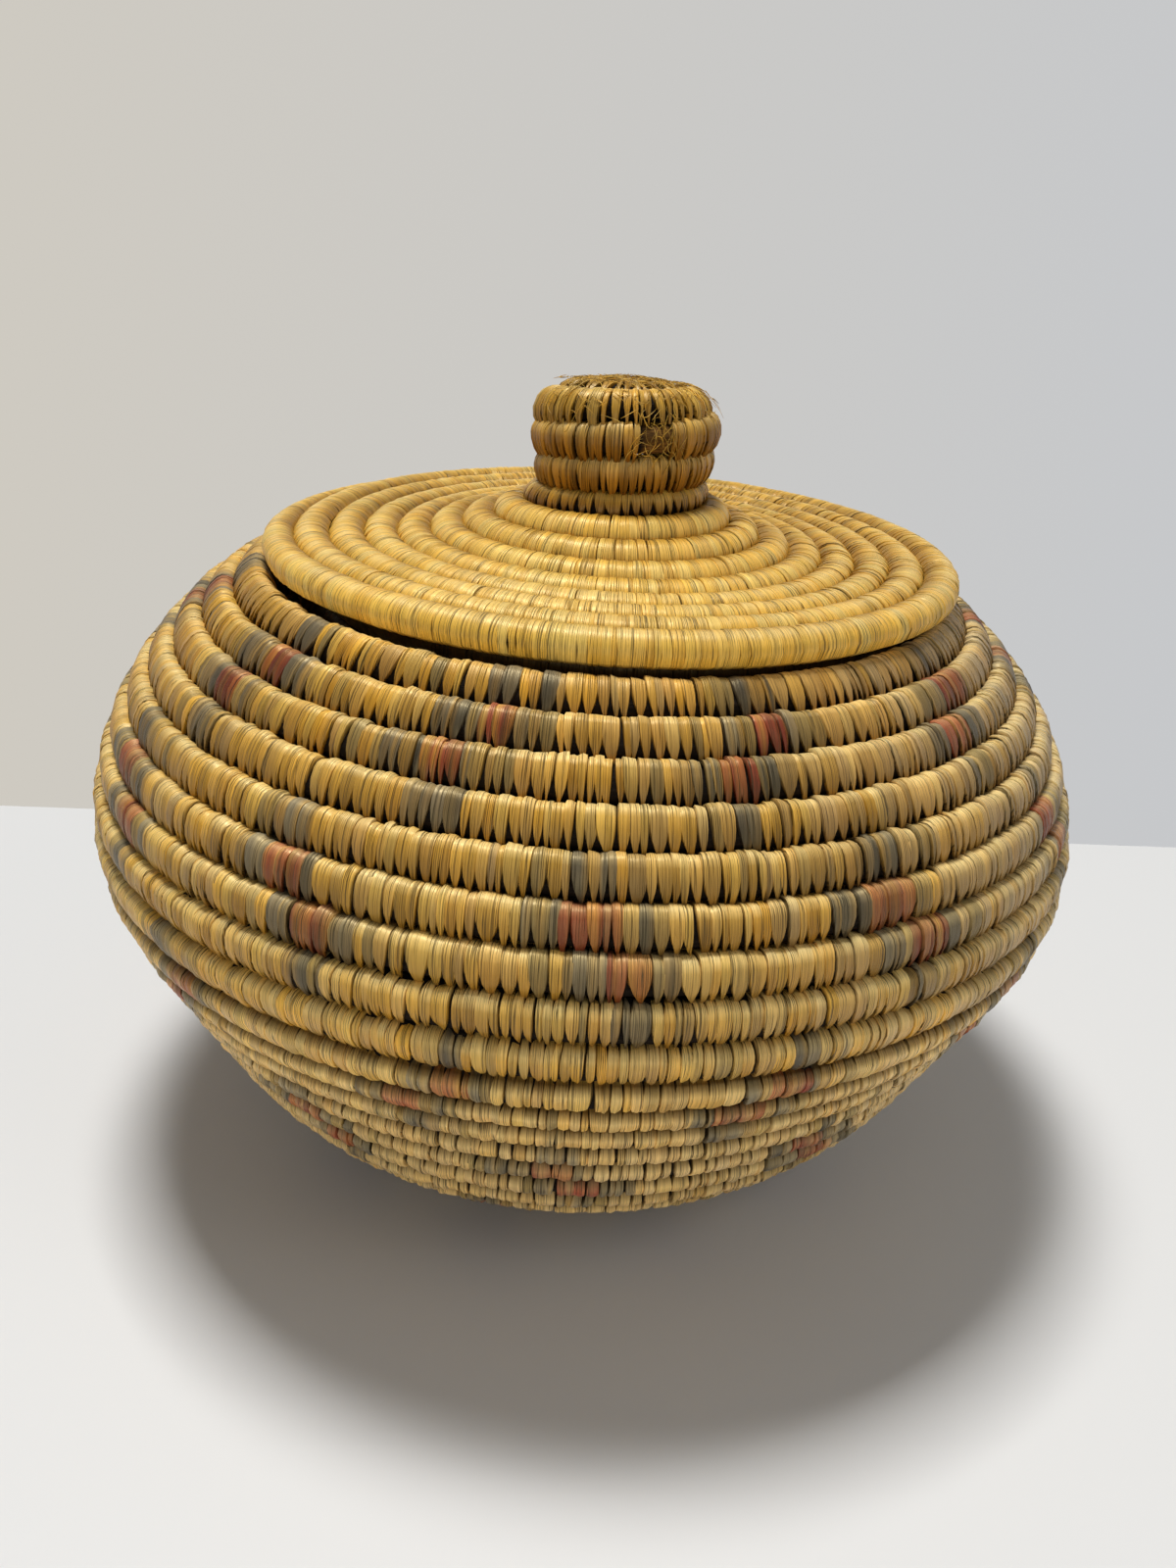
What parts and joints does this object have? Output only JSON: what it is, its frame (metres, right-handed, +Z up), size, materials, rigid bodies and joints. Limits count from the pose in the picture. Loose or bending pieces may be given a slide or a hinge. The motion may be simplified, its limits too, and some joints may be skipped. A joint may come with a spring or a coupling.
{
  "type": "lidded coiled basket",
  "caption": "Round-bellied coiled grass basket with a dyed stepped pattern, and a lift-off coiled lid that has a coiled knob on top and a locating coil underneath.",
  "frame": {"origin": "centre of the whole part's outline in plan, on the plane that the base stands on", "axes": "+Z up through the mouth and the knob; -Y is the side that the picture shows"},
  "size_m": [0.2152, 0.215, 0.1707],
  "materials": {
    "base_coil": "wrapped dry grass, satin, golden straw colour",
    "lower_wall_coil": "wrapped dry grass, satin, golden straw colour",
    "belly_coil": "wrapped dry grass, satin, golden straw colour",
    "shoulder_coil": "wrapped dry grass, satin, golden straw colour",
    "rim_coil": "wrapped dry grass, satin, golden straw colour",
    "lid_edge_coil": "wrapped dry grass, satin, golden straw colour",
    "lid_disc_coil": "wrapped dry grass, satin, golden straw colour",
    "lid_flange_coil": "wrapped dry grass, satin, golden straw colour",
    "knob_neck_coil": "wrapped dry grass, satin, golden straw colour",
    "knob_coil": "wrapped dry grass, satin, golden straw colour"
  },
  "bodies": {
    "basket": {"base_coil": "base_coil", "lower_wall_coil": "lower_wall_coil", "belly_coil": "belly_coil", "shoulder_coil": "shoulder_coil", "rim_coil": "rim_coil"},
    "lid": {"lid_edge_coil": "lid_edge_coil", "lid_disc_coil": "lid_disc_coil", "lid_flange_coil": "lid_flange_coil", "knob_neck_coil": "knob_neck_coil", "knob_coil": "knob_coil"}
  },
  "joints": [
    {"name": "lid_lift", "type": "slide", "parent": "basket", "child": "lid", "axis": [0, 0, 1], "range_m": [0, 0.12]}
  ]
}
